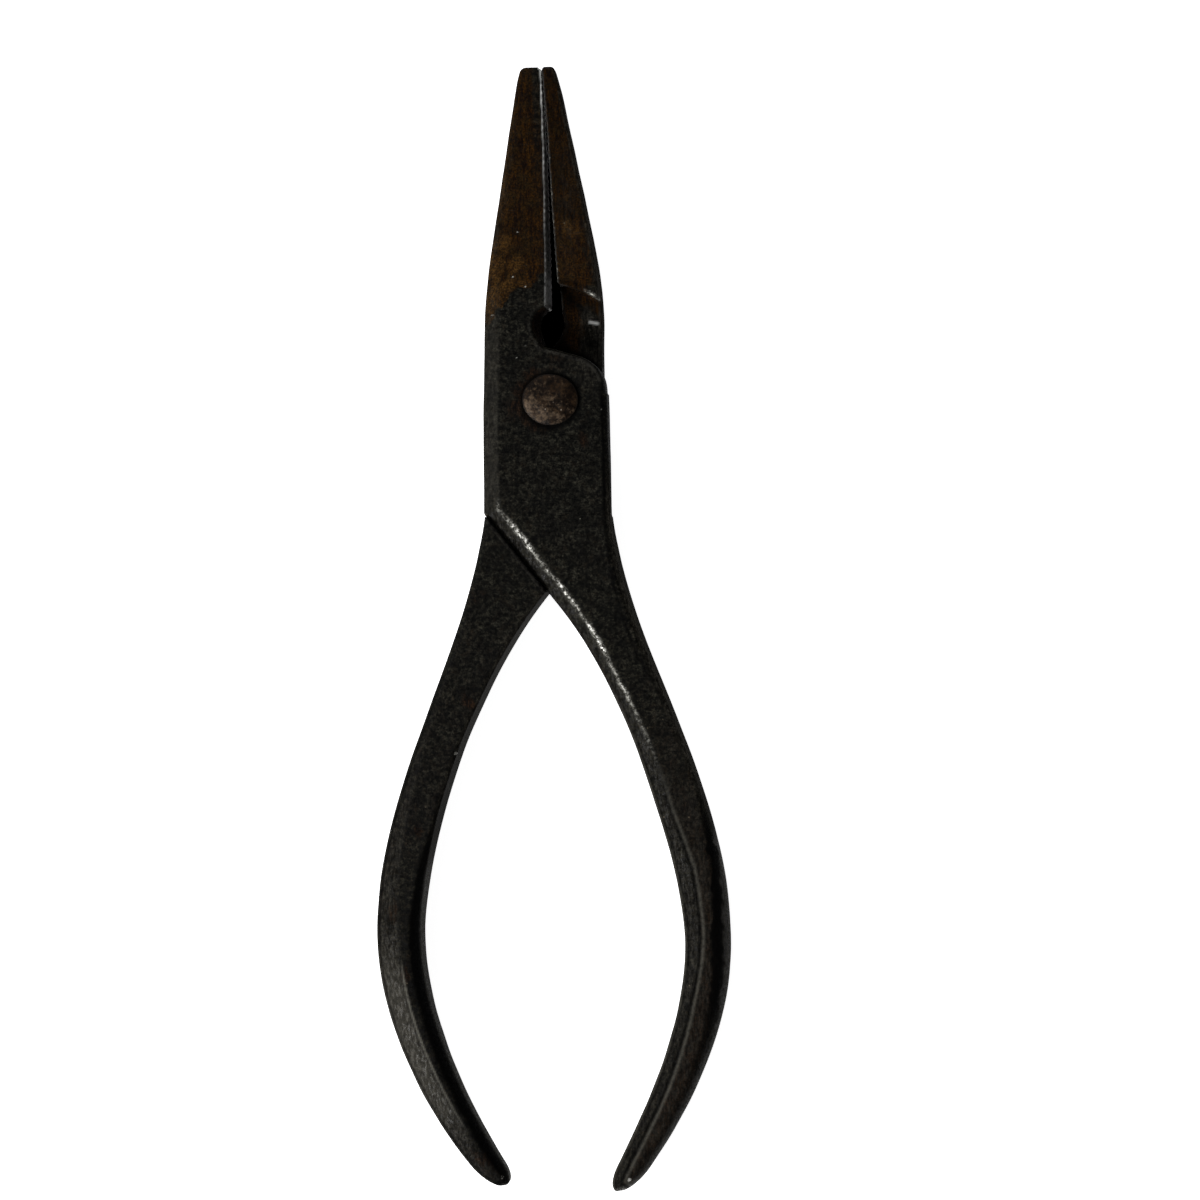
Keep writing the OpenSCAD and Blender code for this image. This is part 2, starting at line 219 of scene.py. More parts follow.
def sides(lv):
    """The two sides of the outline as point lists, both from the tip of the jaw to the end of the handle."""
    crotch = (lv["crotch_x"], -CROTCH_Y)
    bow = np.array(lv["bow"])
    inner_bow = bow - (lv["bow_w"], 0)
    outer_end, way = end_point(lv)
    inner_end = outer_end - (lv["end_w"], 0)
    middle = (outer_end + inner_end) / 2
    half = (outer_end - inner_end) / 2
    turn = np.linspace(0, math.pi / 2, 14)
    cap = middle + way * lv["cap_len"] * np.sin(turn)[:, None]
    reach = half * np.cos(turn)[:, None]
    top = lv["jaw_len"]
    corner = np.linspace(math.pi / 2, 0, 8)
    outer_y, inner_y = [top - r * (1 - np.sin(corner)) for r in lv["tip_round"]]
    outer_in, inner_in = [r * (1 - np.cos(corner)) for r in lv["tip_round"]]
    fine = np.linspace(0, 1, 60)[1:]
    left_y = np.concatenate([outer_y, np.linspace(outer_y[-1], -CROTCH_Y, 260)[1:]])
    outer_in = np.pad(outer_in, (0, len(left_y) - len(outer_in)))
    nip, nip_len = lv["nip"]
    outer_in = outer_in + nip * np.clip((left_y - top + nip_len) / nip_len, 0, 1) ** 1.5
    crotch_way = (math.sin(CROTCH_ANGLE), -math.cos(CROTCH_ANGLE))
    left = np.vstack([
        [[face_x(lv, top) - inner_in[0], top]],
        np.column_stack([left_x(lv, left_y) + outer_in, left_y]),
        bezier(bend(crotch, crotch_way, inner_bow, (0, 1), INNER_UP), fine),
        bezier(bend(inner_bow, (0, -1), inner_end, lean(lv["end_angle"] - TAPER_ANGLE), LOWER), fine),
        (cap - reach)[1:],
    ])
    face_y = np.linspace(inner_y[-1], RELIEF_Y, 60)[1:]
    side_y = np.array([RELIEF_Y, 0, -SIDE_END_Y])
    side_end = (side_x(lv, -SIDE_END_Y), -SIDE_END_Y)
    right = np.vstack([
        np.column_stack([face_x(lv, inner_y) - inner_in, inner_y]),
        np.column_stack([face_x(lv, face_y), face_y]),
        np.column_stack([side_x(lv, side_y), side_y]),
        bezier(bend(side_end, (SIDE_FLARE, -1), bow, (0, 1), OUTER_UP), fine),
        bezier(bend(bow, (0, -1), outer_end, lean(lv["end_angle"]), LOWER), fine),
        (cap + reach)[1:],
    ])
    return left, right


def line_distance(xs, ys, points, reach):
    """Distance from each grid point to a line of points, up to reach."""
    out = np.full((len(xs), len(ys)), reach, np.float32)
    for a, b in zip(points[:-1], points[1:]):
        i0, i1 = np.searchsorted(xs, [min(a[0], b[0]) - reach, max(a[0], b[0]) + reach])
        j0, j1 = np.searchsorted(ys, [min(a[1], b[1]) - reach, max(a[1], b[1]) + reach])
        px, py = xs[i0:i1, None] - a[0], ys[None, j0:j1] - a[1]
        d = b - a
        t = np.clip((px * d[0] + py * d[1]) / max(float(d @ d), 1e-9), 0, 1)
        out[i0:i1, j0:j1] = np.minimum(out[i0:i1, j0:j1], np.hypot(px - t * d[0], py - t * d[1]))
    return out


def inside(xs, ys, polygon):
    """Which grid points lie inside a closed outline."""
    out = np.zeros((len(xs), len(ys)), bool)
    ends = np.roll(polygon, -1, axis=0)
    for j, y in enumerate(ys):
        cut = (polygon[:, 1] > y) != (ends[:, 1] > y)
        a, b = polygon[cut], ends[cut]
        crossings = np.sort(a[:, 0] + (y - a[:, 1]) * (b[:, 0] - a[:, 0]) / (b[:, 1] - a[:, 1]))
        out[:, j] = np.searchsorted(crossings, xs) % 2 == 1
    return out


# The solid of a lever as a distance field


def table(y, *pairs):
    """A value along the lever, joined by straight runs; the pairs go up in y."""
    return np.interp(y, [p[0] for p in pairs], [p[1] for p in pairs])


def edge(lv, side, y):
    """Width, depth and fullness of the rounding along one side: 1 is a flat chamfer, 2 an ellipse."""
    rows = lv[side]
    width = table(y, *[(row[0], row[1]) for row in rows])
    depth = table(y, *[(row[0], row[2]) for row in rows])
    grip = lv["fullness"][side == "right_edge"]
    return width, depth, table(y, (-50, grip), (-35, 1.3), (14, 1.3), (22, 1.8))


def half_thickness(lv, y):
    end_y = end_point(lv)[0][1]
    return table(
        y, (end_y, END_T / 2), (lv["bow"][1], MID_Z), (lv["root_y"], MID_Z), (lv["jaw_len"], TIP_T / 2))


def rounded(d, height, width, depth, power):
    """Distance to a slab with side d and face height, joined by a rounding of that width and depth."""
    u, v = np.maximum(d + width, 0) / width, np.maximum(height + depth, 0) / depth
    q = np.maximum((u**power + v**power) ** (1 / power), 1e-6)
    slope = np.hypot((u / q) ** (power - 1) / width, (v / q) ** (power - 1) / depth)
    return np.where((u > 0) & (v > 0), (q - 1) / np.maximum(slope, 1e-6), np.maximum(d, height))


def plate_distance(lv, x, y):
    """Distance to the plate's own outline at its top: a falling edge and a round free corner."""
    slope = math.hypot(1, PLATE_TOP_FALL)
    cx = lv["side"] - PLATE_CORNER_R
    cy = PLATE_TOP_Y - PLATE_TOP_FALL * cx - PLATE_CORNER_R * slope
    above = (y - PLATE_TOP_Y + PLATE_TOP_FALL * x) / slope
    in_corner = ((x - cx - PLATE_TOP_FALL * (y - cy)) > 0) & (y > cy)
    return np.where(in_corner, np.hypot(x - cx, y - cy) - PLATE_CORNER_R, above)


def lever_field(lv, worn, draft):
    """The distance field of a lever, and the plan distances to its two sides."""
    left, right = sides(lv)
    low = np.array([left[:, 0].min(), right[:, 1].min(), -0.2]) - 4 * GRID
    high = np.array([right[:, 0].max(), lv["jaw_len"], BODY_T + 0.2]) + 4 * GRID
    xs, ys, zs = [np.arange(a, b, GRID) for a, b in zip(low, high)]
    to_left, to_right = line_distance(xs, ys, left, REACH), line_distance(xs, ys, right, REACH)
    is_in = inside(xs, ys, np.vstack([left, right[::-1]]))
    nearer_left = to_left < to_right
    d_left = np.where(is_in | ~nearer_left, -to_left, to_left)
    d_right = np.where(is_in | nearer_left, -to_right, to_right)
    d_left = d_left - table(ys, *lv["left_grow"])[None, :]
    d_right = d_right - table(ys, *lv["right_grow"])[None, :]
    left = [t[None, :] for t in edge(lv, "left_edge", ys)]
    right = [t[None, :] for t in edge(lv, "right_edge", ys)]
    half = half_thickness(lv, ys)[None, :]
    x, y = xs[:, None], ys[None, :]
    r = np.hypot(x, y)
    shoulder = np.hypot(x - lv["shoulder_x"], np.maximum(y, 0)) - lv["shoulder_r"]
    out_dir = np.array([math.cos(CROTCH_ANGLE), -math.sin(CROTCH_ANGLE)])
    diagonal = (x - lv["crotch_x"]) * out_dir[0] + (y + CROTCH_Y) * out_dir[1] - DIAGONAL_CLEAR
    pocket = smooth_max(diagonal, shoulder, 0.3)
    plate = plate_distance(lv, x, y)
    window = np.maximum(np.maximum(-plate, lv["relief_x"] - RELIEF_R / 2 - x), y - RELIEF_Y - RELIEF_R / 2)
    field = np.empty((len(xs), len(ys), len(zs)), np.float32)
    lap_worn = np.where(y > 0, worn, SHARP)
    wobble = waves(3, 9, 5, 16)
    teeth = TOOTH_DEPTH * np.sin(2 * math.pi * y / TOOTH)
    teeth = teeth * (y > RELIEF_Y + RELIEF_R + 2) * (np.abs(d_right) < 1)
    for k, z in enumerate(zs):
        height = abs(z - MID_Z) - half + UNEVEN * wobble(x, y, z) + 1.5 * UNEVEN
        side_wobble = UNEVEN * wobble(y, x, z * 0.5) + UNEVEN
        step_in = ROOT_STEP * table(y, (-21, 0), (-15, 1), (-14, 0)) * (z < MID_Z)
        f = smooth_max(
            rounded(d_left + side_wobble, height, *left),
            rounded(d_right + side_wobble + teeth + step_in, height, *right), SHARP)
        sink = draft * min(max((BODY_T - z) / MID_Z, 0), 1)
        relief = np.hypot(x - lv["relief_x"] - sink, y - RELIEF_Y) - (RELIEF_R - sink)
        cut = smooth_min(window, relief, 0.8)
        f = smooth_max(f, -cut, 2 * worn)
        f = smooth_max(f, -np.maximum(pocket, z - MID_Z - LAP_GAP / 2), lap_worn)
        f = smooth_max(f, SHANK_R + BORE_CLEAR - r, SHARP)
        field[:, :, k] = f
    return {"field": field, "low": low, "xs": xs, "ys": ys, "zs": zs, "d_left": d_left, "d_right": d_right}


# A mesh from a distance field


def surface_net(field):
    """Vertices in grid steps and quads of the surface where the field is zero."""
    solid = field < 0
    shape = np.array(field.shape)
    count = np.zeros(shape - 1, np.uint8)
    for i in (0, 1):
        for j in (0, 1):
            for k in (0, 1):
                count += solid[i:shape[0] - 1 + i, j:shape[1] - 1 + j, k:shape[2] - 1 + k]
    cells = np.array(np.nonzero((count > 0) & (count < 8)))
    index = np.full(shape - 1, -1, np.int64)
    index[tuple(cells)] = np.arange(cells.shape[1])
    total, crossings = np.zeros(cells.shape), np.zeros(cells.shape[1])
    for axis in range(3):
        for step_b in (0, 1):
            for step_c in (0, 1):
                offset = np.zeros(3, int)
                offset[(axis + 1) % 3], offset[(axis + 2) % 3] = step_b, step_c
                ahead = offset.copy()
                ahead[axis] = 1
                f0 = field[tuple(cells + offset[:, None])]
                f1 = field[tuple(cells + ahead[:, None])]
                hit = (f0 < 0) != (f1 < 0)
                share = np.where(hit, f0 / np.where(hit, f0 - f1, 1), 0)
                total += hit * (offset[:, None] + (ahead - offset)[:, None] * share)
                crossings += hit
    verts = (cells + total / crossings).T
    quads = []
    for axis in range(3):
        b, c = (axis + 1) % 3, (axis + 2) % 3
        here = [slice(1, -1)] * 3
        there = [slice(1, -1)] * 3
        here[axis], there[axis] = slice(0, -1), slice(1, None)
        a0, a1 = solid[tuple(here)], solid[tuple(there)]
        for outward in (True, False):
            cross = np.array(np.nonzero((a0 & ~a1) if outward else (~a0 & a1)))
            start = np.ones(3, int)
            start[axis] = 0
            cross += start[:, None]
            ring = []
            for db, dc in ((-1, -1), (0, -1), (0, 0), (-1, 0)):
                at = cross.copy()
                at[b] += db
                at[c] += dc
                ring.append(index[tuple(at)])
            quads.append(np.column_stack(ring if outward else ring[::-1]))
    return verts, np.vstack(quads)


def sample(grid, points):
    """The grid's value at points given in grid steps, with straight runs between grid points."""
    limit = np.array(grid.shape) - 1.001
    p = np.clip(points, 0, limit)
    base = p.astype(int)
    t = p - base
    value = 0
    for corner in np.ndindex(*(2,) * grid.ndim):
        weight = 1
        for axis, side in enumerate(corner):
            weight = weight * (t[:, axis] if side else 1 - t[:, axis])
        value = value + weight * grid[tuple((base + corner).T)]
    return value


def gradient(field, points):
    steps = np.eye(3) * 0.6
    return np.column_stack([sample(field, points + s) - sample(field, points - s) for s in steps]) / 1.2


def settle(field, points):
    """Moves the net's points onto the surface."""
    for _ in range(3):
        slope = gradient(field, points)
        size = np.maximum((slope**2).sum(1), 1e-9)
        move = slope * (sample(field, points) / size)[:, None]
        points = points - np.clip(move, -0.5, 0.5)
    return points


def roundness(field, points):
    """How convex the surface is at each point: above 0 on edges, below 0 in corners."""
    slope = gradient(field, points)
    normal = slope / np.maximum(np.linalg.norm(slope, axis=1), 1e-9)[:, None]
    d = FEEL / GRID
    return (sample(field, points + normal * d) + sample(field, points - normal * d)) / FEEL


def build_mesh(name, verts, faces, attributes):
    mesh = bpy.data.meshes.new(name)
    mesh.from_pydata((verts * MM).tolist(), [], faces.tolist())
    for key, values in attributes.items():
        layer = mesh.attributes.new(key, "FLOAT", "POINT")
        layer.data.foreach_set("value", np.asarray(values, np.float32))
    mesh.shade_smooth()
    piece = bpy.data.objects.new(name, mesh)
    bpy.context.scene.collection.objects.link(piece)
    return piece


def make_lever(name, lv, mirrored, worn, draft, paint):
    grid = lever_field(lv, worn, draft)
    net, quads = surface_net(grid["field"])
    net = settle(grid["field"], net)
    convex = roundness(grid["field"], net)
    plan = {key: sample(grid[key], net[:, :2]) for key in ("d_left", "d_right")}
    own = grid["low"] + net * GRID
    verts = own.copy()
    if mirrored:
        verts[:, 0] = -own[:, 0]
        verts[:, 2] = BODY_T - own[:, 2]
    masks = paint(verts, plan)
    masks["edge"] = np.clip(convex * 3, 0, 1) * table(own[:, 1], (10, 1.0), (16, 0.15))
    return build_mesh(name, verts, quads, masks)


# Where the levers are rusted, worn bright or stained, and where highlights, reflections and shade are painted,
# in millimetres


def line_mask(x, y, a, b, width):
    """1 on the line from a to b, falling to 0 at that distance from it."""
    d = np.subtract(b, a)
    t = np.clip(((x - a[0]) * d[0] + (y - a[1]) * d[1]) / (d @ d), 0, 1)
    return np.clip(1 - np.hypot(x - a[0] - t * d[0], y - a[1] - t * d[1]) / width, 0, 1)


def blob(x, y, cx, cy, rx, ry, turn=0.0):
    """1 in the middle of an oval stain, 0 at its rim."""
    c, s = math.cos(math.radians(turn)), math.sin(math.radians(turn))
    u = ((x - cx) * c + (y - cy) * s) / rx
    v = (-(x - cx) * s + (y - cy) * c) / ry
    return np.clip(1 - np.hypot(u, v), 0, 1)


def crest(d, at, width):
    """1 on the crest of the bevel that lies that far inside a side."""
    return np.exp(-(((-d - at) / width) ** 2))


# Nicks and bright specks: place and radius
FRONT_MARKS = (
    (-8.24, 11.9, 0.2), (-4.7, 23.8, 0.16), (-5.3, 17.4, 0.15), (-3.6, 16.0, 0.15), (-4.7, 5.9, 0.15),
    (-3.6, 7.6, 0.15), (11.0, -110.2, 0.35), (7.2, -1.4, 0.15))
REAR_MARKS = ((-13.4, -50.0, 0.3), (-7.0, -110.1, 0.25))
RECESS_SCRATCH = ((5.2, 11.25), (6.3, 11.05))
# Oval rust stains: strength, place, two radii and turn in degrees
FRONT_STAINS = (
    (0.9, 4.6, -5.6, 1.2, 2.3, 15), (0.55, -5.6, -1.5, 2.2, 4.4, 0), (0.5, 1.0, 5.9, 4.5, 1.6, 0))
REAR_STAINS = (
    (0.8, -11.6, -42.9, 2.0, 2.4, 0), (0.8, -18.9, -61.2, 1.9, 2.6, 0), (0.9, -22.3, -72.4, 1.6, 3.0, 0),
    (0.9, -20.6, -81.0, 1.4, 4.2, -8), (0.9, -9.6, -108.0, 3.0, 4.6, 40), (0.7, -10.5, -28.0, 2.6, 3.0, 0))
# The jaw's rust ends on the plate along this line, x and y
RUST_END_X = (-9.5, -8.0, -5.9, -4.4, -2.6, -1.0)
RUST_END_Y = (10.9, 11.6, 14.4, 15.8, 16.8, 17.6)
# Heights: where the mask of the top face is full, what counts as below that face, and the floor of the lap
TOP_FADE = 2.0
BELOW_TOP = 8.5
LAP_FLOOR = (4.0, 5.2)
# The gripping faces and their bite start here along the jaws
FACE_FROM_Y = RELIEF_Y + RELIEF_R - 0.3
BITE_FROM_Y = 14.0


class Skin:
    """Where the points of a lever's skin lie in the closed tool, and how far inside its two sides."""

    def __init__(self, lever, points, plan, seed):
        self.lever = lever
        self.x, self.y, self.z = points.T
        self.d_left, self.d_right = plan["d_left"], plan["d_right"]
        self.left_w = edge(lever, "left_edge", self.y)[0]
        self.right_w = edge(lever, "right_edge", self.y)[0]
        self.ragged = waves(seed, 8, 1.2, 5)(self.x, self.y, self.z)
        self.top = smooth_step(MID_Z, MID_Z + TOP_FADE, self.z)

    def marks(self, spots):
        """Bright specks at those places on the upper face."""
        best = np.zeros(len(self.x))
        for cx, cy, radius in spots:
            away = np.hypot(self.x - cx, self.y - cy)
            best = np.maximum(best, smooth_step(1.2 * radius, 0.6 * radius, away))
        return best * (self.z > MID_Z + half_thickness(self.lever, self.y) - 0.7)

    def stains(self, rows):
        return sum(strength * blob(self.x, self.y, *oval) for strength, *oval in rows)

    def on_face(self):
        """1 on the flat gripping face."""
        return smooth_step(0.25, 0.1, -self.d_right) * (self.y > FACE_FROM_Y)

    def on_lap(self):
        """True on the floor of the half lap."""
        return (self.z > LAP_FLOOR[0]) * (self.z < LAP_FLOOR[1])


def clipped(**masks):
    return {key: np.clip(value, 0, 1) for key, value in masks.items()}


def front_stain(s, notch, on_top):
    """Rust on the left jaw, in the relief, round the rivet and where a hand holds the right handle."""
    x, y = s.x, s.y
    slot_band = smooth_step(1.9, 1.1, face_x(FRONT, y) - x) * table(y, (18, 0.3), (30, 0.6), (46, 1.0))
    jaw = smooth_step(-0.6, 0.6, y - np.interp(x, RUST_END_X, RUST_END_Y) + 0.45 * s.ragged)
    jaw = jaw * (1 - 0.7 * slot_band)
    around = np.hypot(x / 1.06, y / 0.95)
    ring = smooth_step(6.6, 4.0, around + 0.7 * s.ragged) * (0.55 + 0.45 * np.clip(-x / 4, -1, 1))
    grip = table(y, (-100, 0.56), (-75, 0.52), (-55, 0.38), (-40, 0.25), (-20, 0)) * (0.5 + 0.5 * on_top)
    return np.maximum.reduce([jaw, notch, ring * 0.7, s.stains(FRONT_STAINS), grip])


def front_gold(s, notch):
    """How golden the rust is: 0 is old dark rust, 0.4 the jaws' rust, 1 the patch at the left jaw's foot."""
    x, y = s.x, s.y
    gold = 0.4 + blob(x, y, -6.6, 17.5, 4.4, 7.0) * (0.7 + 0.6 * s.ragged)
    gold = gold + 0.35 * blob(x, y, -6.8, 31, 1.6, 12) + 0.5 * blob(x, y, -8.4, 13.0, 2.0, 3.0)
    return gold * (y > 8.6) * (1 - 0.5 * notch)


def front_wear_and_highlight(s, ridge_at):
    """Broken bright steel along the diagonal ridge, worn and partly a painted highlight, and the specks."""
    swell = waves(13, 6, 2.5, 9.0)(s.x, s.y, s.z)
    # Worn steel on the ridge, placed where the bevel catches the light: also a painted highlight
    ridge = crest(s.d_left, (0.87 + 0.04 * swell) * s.left_w, 0.36 + 0.08 * s.ragged)
    ridge = ridge * ridge_at * (0.85 + 0.3 * swell)
    return np.maximum(ridge * s.top, s.marks(FRONT_MARKS))


def front_painted_highlights(s, ridge_at, facet):
    """Painted highlights: pale lines along both edges of the left bevel, and a sheen on the plate's."""
    y = s.y
    inner = 0.8 * crest(s.d_left, s.left_w, 0.22)
    inner = inner * table(y, (-110, 0.5), (-104, 0.65), (-64, 0.6), (-56, 0.4), (-50, 0.0))
    by_ridge = 0.12 * crest(s.d_left, 0.8 * s.left_w, 0.5) * ridge_at
    outer = 0.3 * crest(s.d_left, 0.15, 0.18) * table(y, (-104, 1), (-45, 1), (-38, 0))
    sheen = 0.07 * facet * table(y, (-17, 0), (-14, 1), (8, 0.8), (14, 0))
    return np.maximum(np.maximum.reduce([inner, by_ridge, outer]) * s.top, sheen)


def front_rub(s, on_top, facet):
    """Rubbed steel on the jaw's side and the bowed handle's top, and a painted highlight on the left bevel and
    the plate's free corner.
    """
    y = s.y
    # Painted highlight on the left bevel
    bevel = facet * table(
        y, (-110, 0.4), (-95, 0.3), (-80, 0.35), (-60, 0.4), (-45, 0.3), (-15, 0.35), (12, 0.4), (18, 0))
    jaw = 0.4 * smooth_step(1.7, 0.4, -s.d_left) * table(y, (18, 0), (22, 1), (34, 0.8), (42, 0.2))
    handle = 0.35 * on_top * table(y, (-90, 1), (-60, 1), (-45, 0))
    # Painted highlight on the plate's free corner
    corner = 0.6 * blob(s.x, y, 5.4, 4.0, 2.2, 3.4, 25)
    return np.maximum.reduce([bevel, jaw * s.top, handle, corner * s.top])


def front_grime(s, notch, band_at):
    """Painted shade: a dark ring round the rivet, creases beside the bevels, the handle's dark band, dark lines
    by the slot's edge and down the right side, and a darker notch.
    """
    y = s.y
    # Painted shade round the rivet head, widest on its lower right
    ring_w = np.clip(0.7 + 0.06 * (0.6 * s.x - y), 0.3, 1.1)
    ring = smooth_step(ring_w, 0.0, np.abs(np.hypot(s.x / 1.05, y) - 3.85))
    # Painted shade in the creases beside the left bevel and along its outer edge
    crease = crest(s.d_left, s.left_w - 0.5, 0.25) * table(y, (-108, 0.9), (-60, 0.9), (-50, 0.0))
    edge_crease = 0.5 * crest(s.d_left, 0.55, 0.15) * table(y, (-104, 1), (-45, 1), (-38, 0))
    # Painted shade: the dark band down the right handle's side
    band_half = 0.25 + 0.3 * band_at
    off_band = np.abs(-s.d_right - band_at + 0.2 * s.ragged)
    band = smooth_step(band_half + 0.25, band_half - 0.15, off_band)
    band = band * table(y, (-98, 0.1), (-90, 0.5), (-84, 1.0), (-63, 1.0), (-57, 0.4), (-50, 0.0))
    # Painted shade along the slot's edge and down the right side
    bite_line = 0.8 * crest(s.d_right, 0.18, 0.12) * (y > BITE_FROM_Y)
    side_at = table(y, (-43, 0.2), (-41, 0.6), (-36, 1.5), (-27, 1.4), (-20, 0.9), (-14, 0.8))
    side_line = 1.1 * crest(s.d_right, side_at, 0.25)
    side_line = side_line * table(y, (-43, 0), (-38, 0.8), (-14, 0.8), (0, 1), (3, 0))
    lines = np.maximum.reduce([crease, edge_crease, band, bite_line, side_line]) * s.top
    return np.maximum.reduce([ring, lines, 0.3 * notch])


def paint_front(points, plan):
    """The masks of the front lever, with the left jaw, the plate and the right handle."""
    s = Skin(FRONT, points, plan, 11)
    y = s.y
    from_relief = np.hypot(s.x - FRONT["relief_x"], y - RELIEF_Y) - RELIEF_R
    notch = smooth_step(0.8, 0.2, from_relief) * smooth_step(9.4, 8.9, s.z)
    on_top = smooth_step(0.8 * s.left_w, 1.1 * s.left_w, -s.d_left)
    on_top = on_top * smooth_step(0.3 * s.right_w, 0.7 * s.right_w, -s.d_right)
    facet = smooth_step(s.left_w, 0.8 * s.left_w, -s.d_left) * s.top
    ridge_at = table(
        y, (-60, 0), (-51, 0.15), (-44, 0.55), (-38, 0.9), (-34, 1), (-15.5, 1.1), (-13.6, 0.1), (10, 0))
    band_at = table(y, (-92, 1.2), (-85, 1.4), (-75, 1.75), (-68, 1.2), (-64, 0.85), (-57, 0.4))
    # Pale gripping face with a painted reflection, brighter towards the tip
    tip = table(y, (RELIEF_Y, 0.22), (20, 0.24), (26, 0.33), (31, 0.45), (35, 0.55), (38, 0.75), (41, 1.0))
    # The wall mask makes the side wall and the handle's rim lighter: a painted reflection of the floor
    wall = smooth_step(0.7, 0.3, -s.d_right) * table(y, (-62, 0), (-56, 1), (-16, 1), (-8, 0))
    rim = smooth_step(band_at - 0.15, band_at - 0.6, -s.d_right)
    rim = rim * table(y, (-110, 0.6), (-66, 0.8), (-60, 0))
    return clipped(
        rust=front_stain(s, notch, on_top), wear=front_wear_and_highlight(s, ridge_at), gold=front_gold(s, notch),
        face=s.on_face() * tip, grime=front_grime(s, notch, band_at), rub=front_rub(s, on_top, facet),
        matte=np.maximum(wall, notch), wall=np.maximum(wall, 0.8 * rim), line=front_painted_highlights(s, ridge_at, facet))


def rear_stain(s, under_step):
    """Rust on the right jaw, in the recess below it, and in patches down the left handle."""
    x, y = s.x, s.y
    jaw = smooth_step(15.2, 16.4, y + 0.4 * s.ragged)
    jaw = jaw * (1 - 0.55 * smooth_step(2.2, 0.6, -s.d_left + 0.3 * s.ragged))
    recess = smooth_step(6.2, 2.2, x + 0.9 * s.ragged) * smooth_step(5.5, 7, y) * (y < 16.5)
    patches = s.stains(REAR_STAINS) * (0.8 + 0.4 * s.ragged)
    grip = table(y, (-100, 0.25), (-60, 0.3), (-35, 0.25), (-20, 0))
    return np.maximum.reduce([jaw, 0.85 * recess, 0.9 * under_step, patches, grip])


def rear_gold(s):
    """How golden the rust is, as on the front lever."""
    x, y = s.x, s.y
    gold = 0.36 * (y > 5) + 0.42 * blob(x, y, 2.6, 25, 2.4, 14) * (0.6 + 0.6 * s.ragged)
    return gold + 0.2 * blob(x, y, 3.6, 9.8, 2.2, 4.0)


def rear_wear_and_highlight(s, shoulder, dots):
    """Bright steel on the shoulder's edge, laid only at its right end as a painted highlight, bright worn steel
    on the teeth along the slot, and the specks.
    """
    # Painted highlight on the right end of the shoulder's edge
    step = 0.6 * smooth_step(0.4, 0.1, shoulder) * smooth_step(4.2, 5.6, s.x) * (s.y > 5)
    bite = crest(s.d_right, 0.1, 0.12) * table(s.y, (15, 0.7), (30, 0.6), (42, 0.3)) * (s.y > BITE_FROM_Y)
    return np.maximum(np.maximum(step, bite * dots) * s.top, s.marks(REAR_MARKS))


def rear_face(s):
    """A trace of bright gripping face, and the scratch in the recess."""
    scratch = 0.55 * line_mask(s.x, s.y, *RECESS_SCRATCH, 0.3) * (np.abs(s.z - MID_Z) < 0.6)
    return np.maximum(0.03 * s.on_face(), scratch)


def rear_painted_highlight(s, facet):
    """Painted highlights: a pale line and a sheen along the lower left handle's inner facet."""
    line = 2.2 * crest(s.d_right, s.right_w, 0.12) * table(s.y, (-104, 0), (-99, 0.8), (-84, 1), (-79, 0))
    return np.maximum(line, 0.24 * facet * table(s.y, (-106, 0), (-99, 0.8), (-84, 1), (-76, 0)))


def rear_rub(s, facet, under_step):
    """Rubbed steel on the jaw beside the slot and the right half of the recess, and a painted highlight on the
    handle's facet.
    """
    # Painted highlight on the handle's facet
    handle = facet * table(
        s.y, (-110, 0.2), (-103, 0.6), (-95, 1.0), (-83, 1.0), (-75, 0.45), (-60, 0.4), (-50, 0.15), (-40, 0))
    jaw = 0.35 * blob(s.x, s.y, 2.4, 29, 2.2, 13) * s.top
    recess = 0.75 * s.on_lap() * (s.y > 5) * smooth_step(3, 4.5, s.x) * (1 - under_step)
    return np.maximum.reduce([handle, jaw, recess])


def rear_bands(s):
    """Painted shade: dark bands down the left handle, on its oval side and just inside the other edge."""
    y = s.y
    oval = smooth_step(1.1 * s.left_w, 0.7 * s.left_w, -s.d_left + 0.15 * s.ragged)
    shade = 0.6 * smooth_step(2.9, 1.4, -s.d_left + 0.2 * s.ragged)
    shade = shade * table(y, (-108, 1), (-80, 1), (-70, 0.3))
    band = smooth_step(-0.05, 0.3, -s.d_left) * np.maximum(oval, shade)
    band = band * table(y, (-108, 1.0), (-66, 1.0), (-60, 0.6), (-55, 0))
    outer_line = 0.8 * crest(s.d_right, 0.45, 0.16) * table(y, (-104, 1), (-45, 1), (-34, 0))
    return np.maximum(band, outer_line) * s.top


